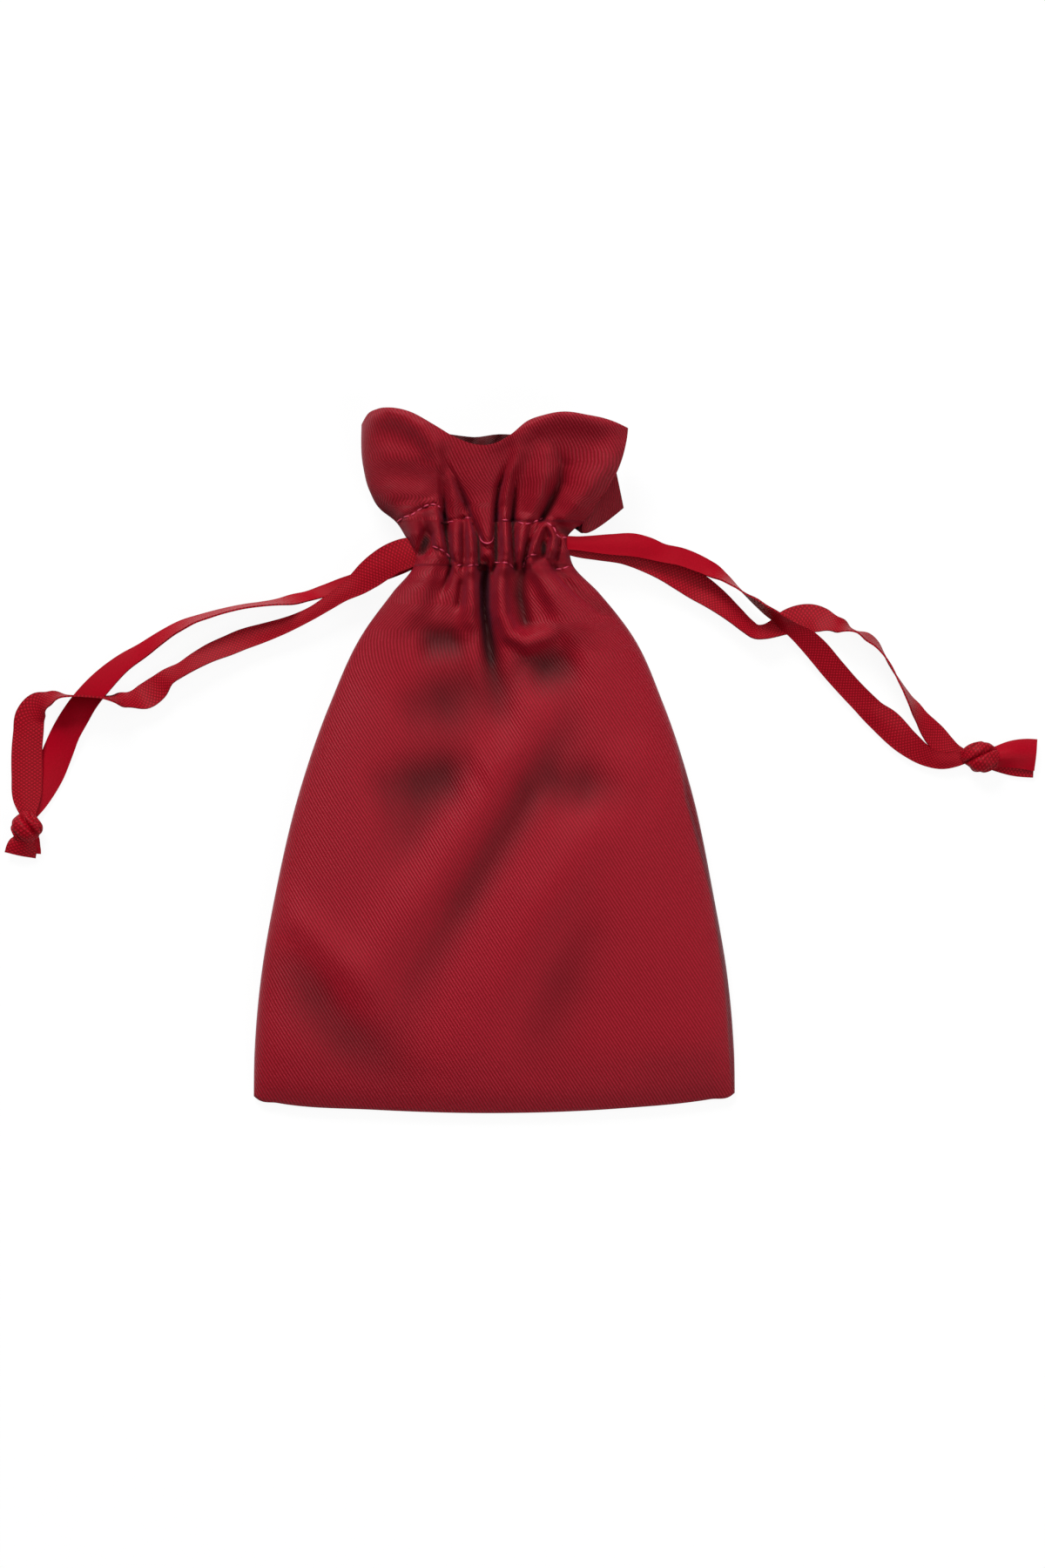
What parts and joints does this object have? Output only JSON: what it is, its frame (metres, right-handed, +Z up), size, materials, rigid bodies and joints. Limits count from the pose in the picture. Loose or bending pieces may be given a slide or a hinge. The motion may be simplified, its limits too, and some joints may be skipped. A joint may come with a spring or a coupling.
{
  "type": "drawstring pouch",
  "caption": "Satin drawstring pouch lying drawn shut, with a gathered header above a stitched casing and knotted ribbon tails at both sides.",
  "frame": {"origin": "on the table under the middle of the pouch's footprint, as it lies on its back", "axes": "+X to the pouch's right, +Y from the bottom fold to the header, +Z up from the back to the front"},
  "size_m": [0.2129, 0.1456, 0.0142],
  "materials": {
    "satin": "dark red satin with a soft sheen",
    "ribbon": "red ribbon, smooth satin on one side and woven on the other"
  },
  "bodies": {
    "root": {"pouch": "satin", "left_ribbon_in_casing": "ribbon", "left_front_tail": "ribbon", "left_back_tail": "ribbon", "left_knot": "ribbon", "right_ribbon_in_casing": "ribbon", "right_front_tail": "ribbon", "right_back_tail": "ribbon", "right_knot": "ribbon"}
  },
  "joints": []
}
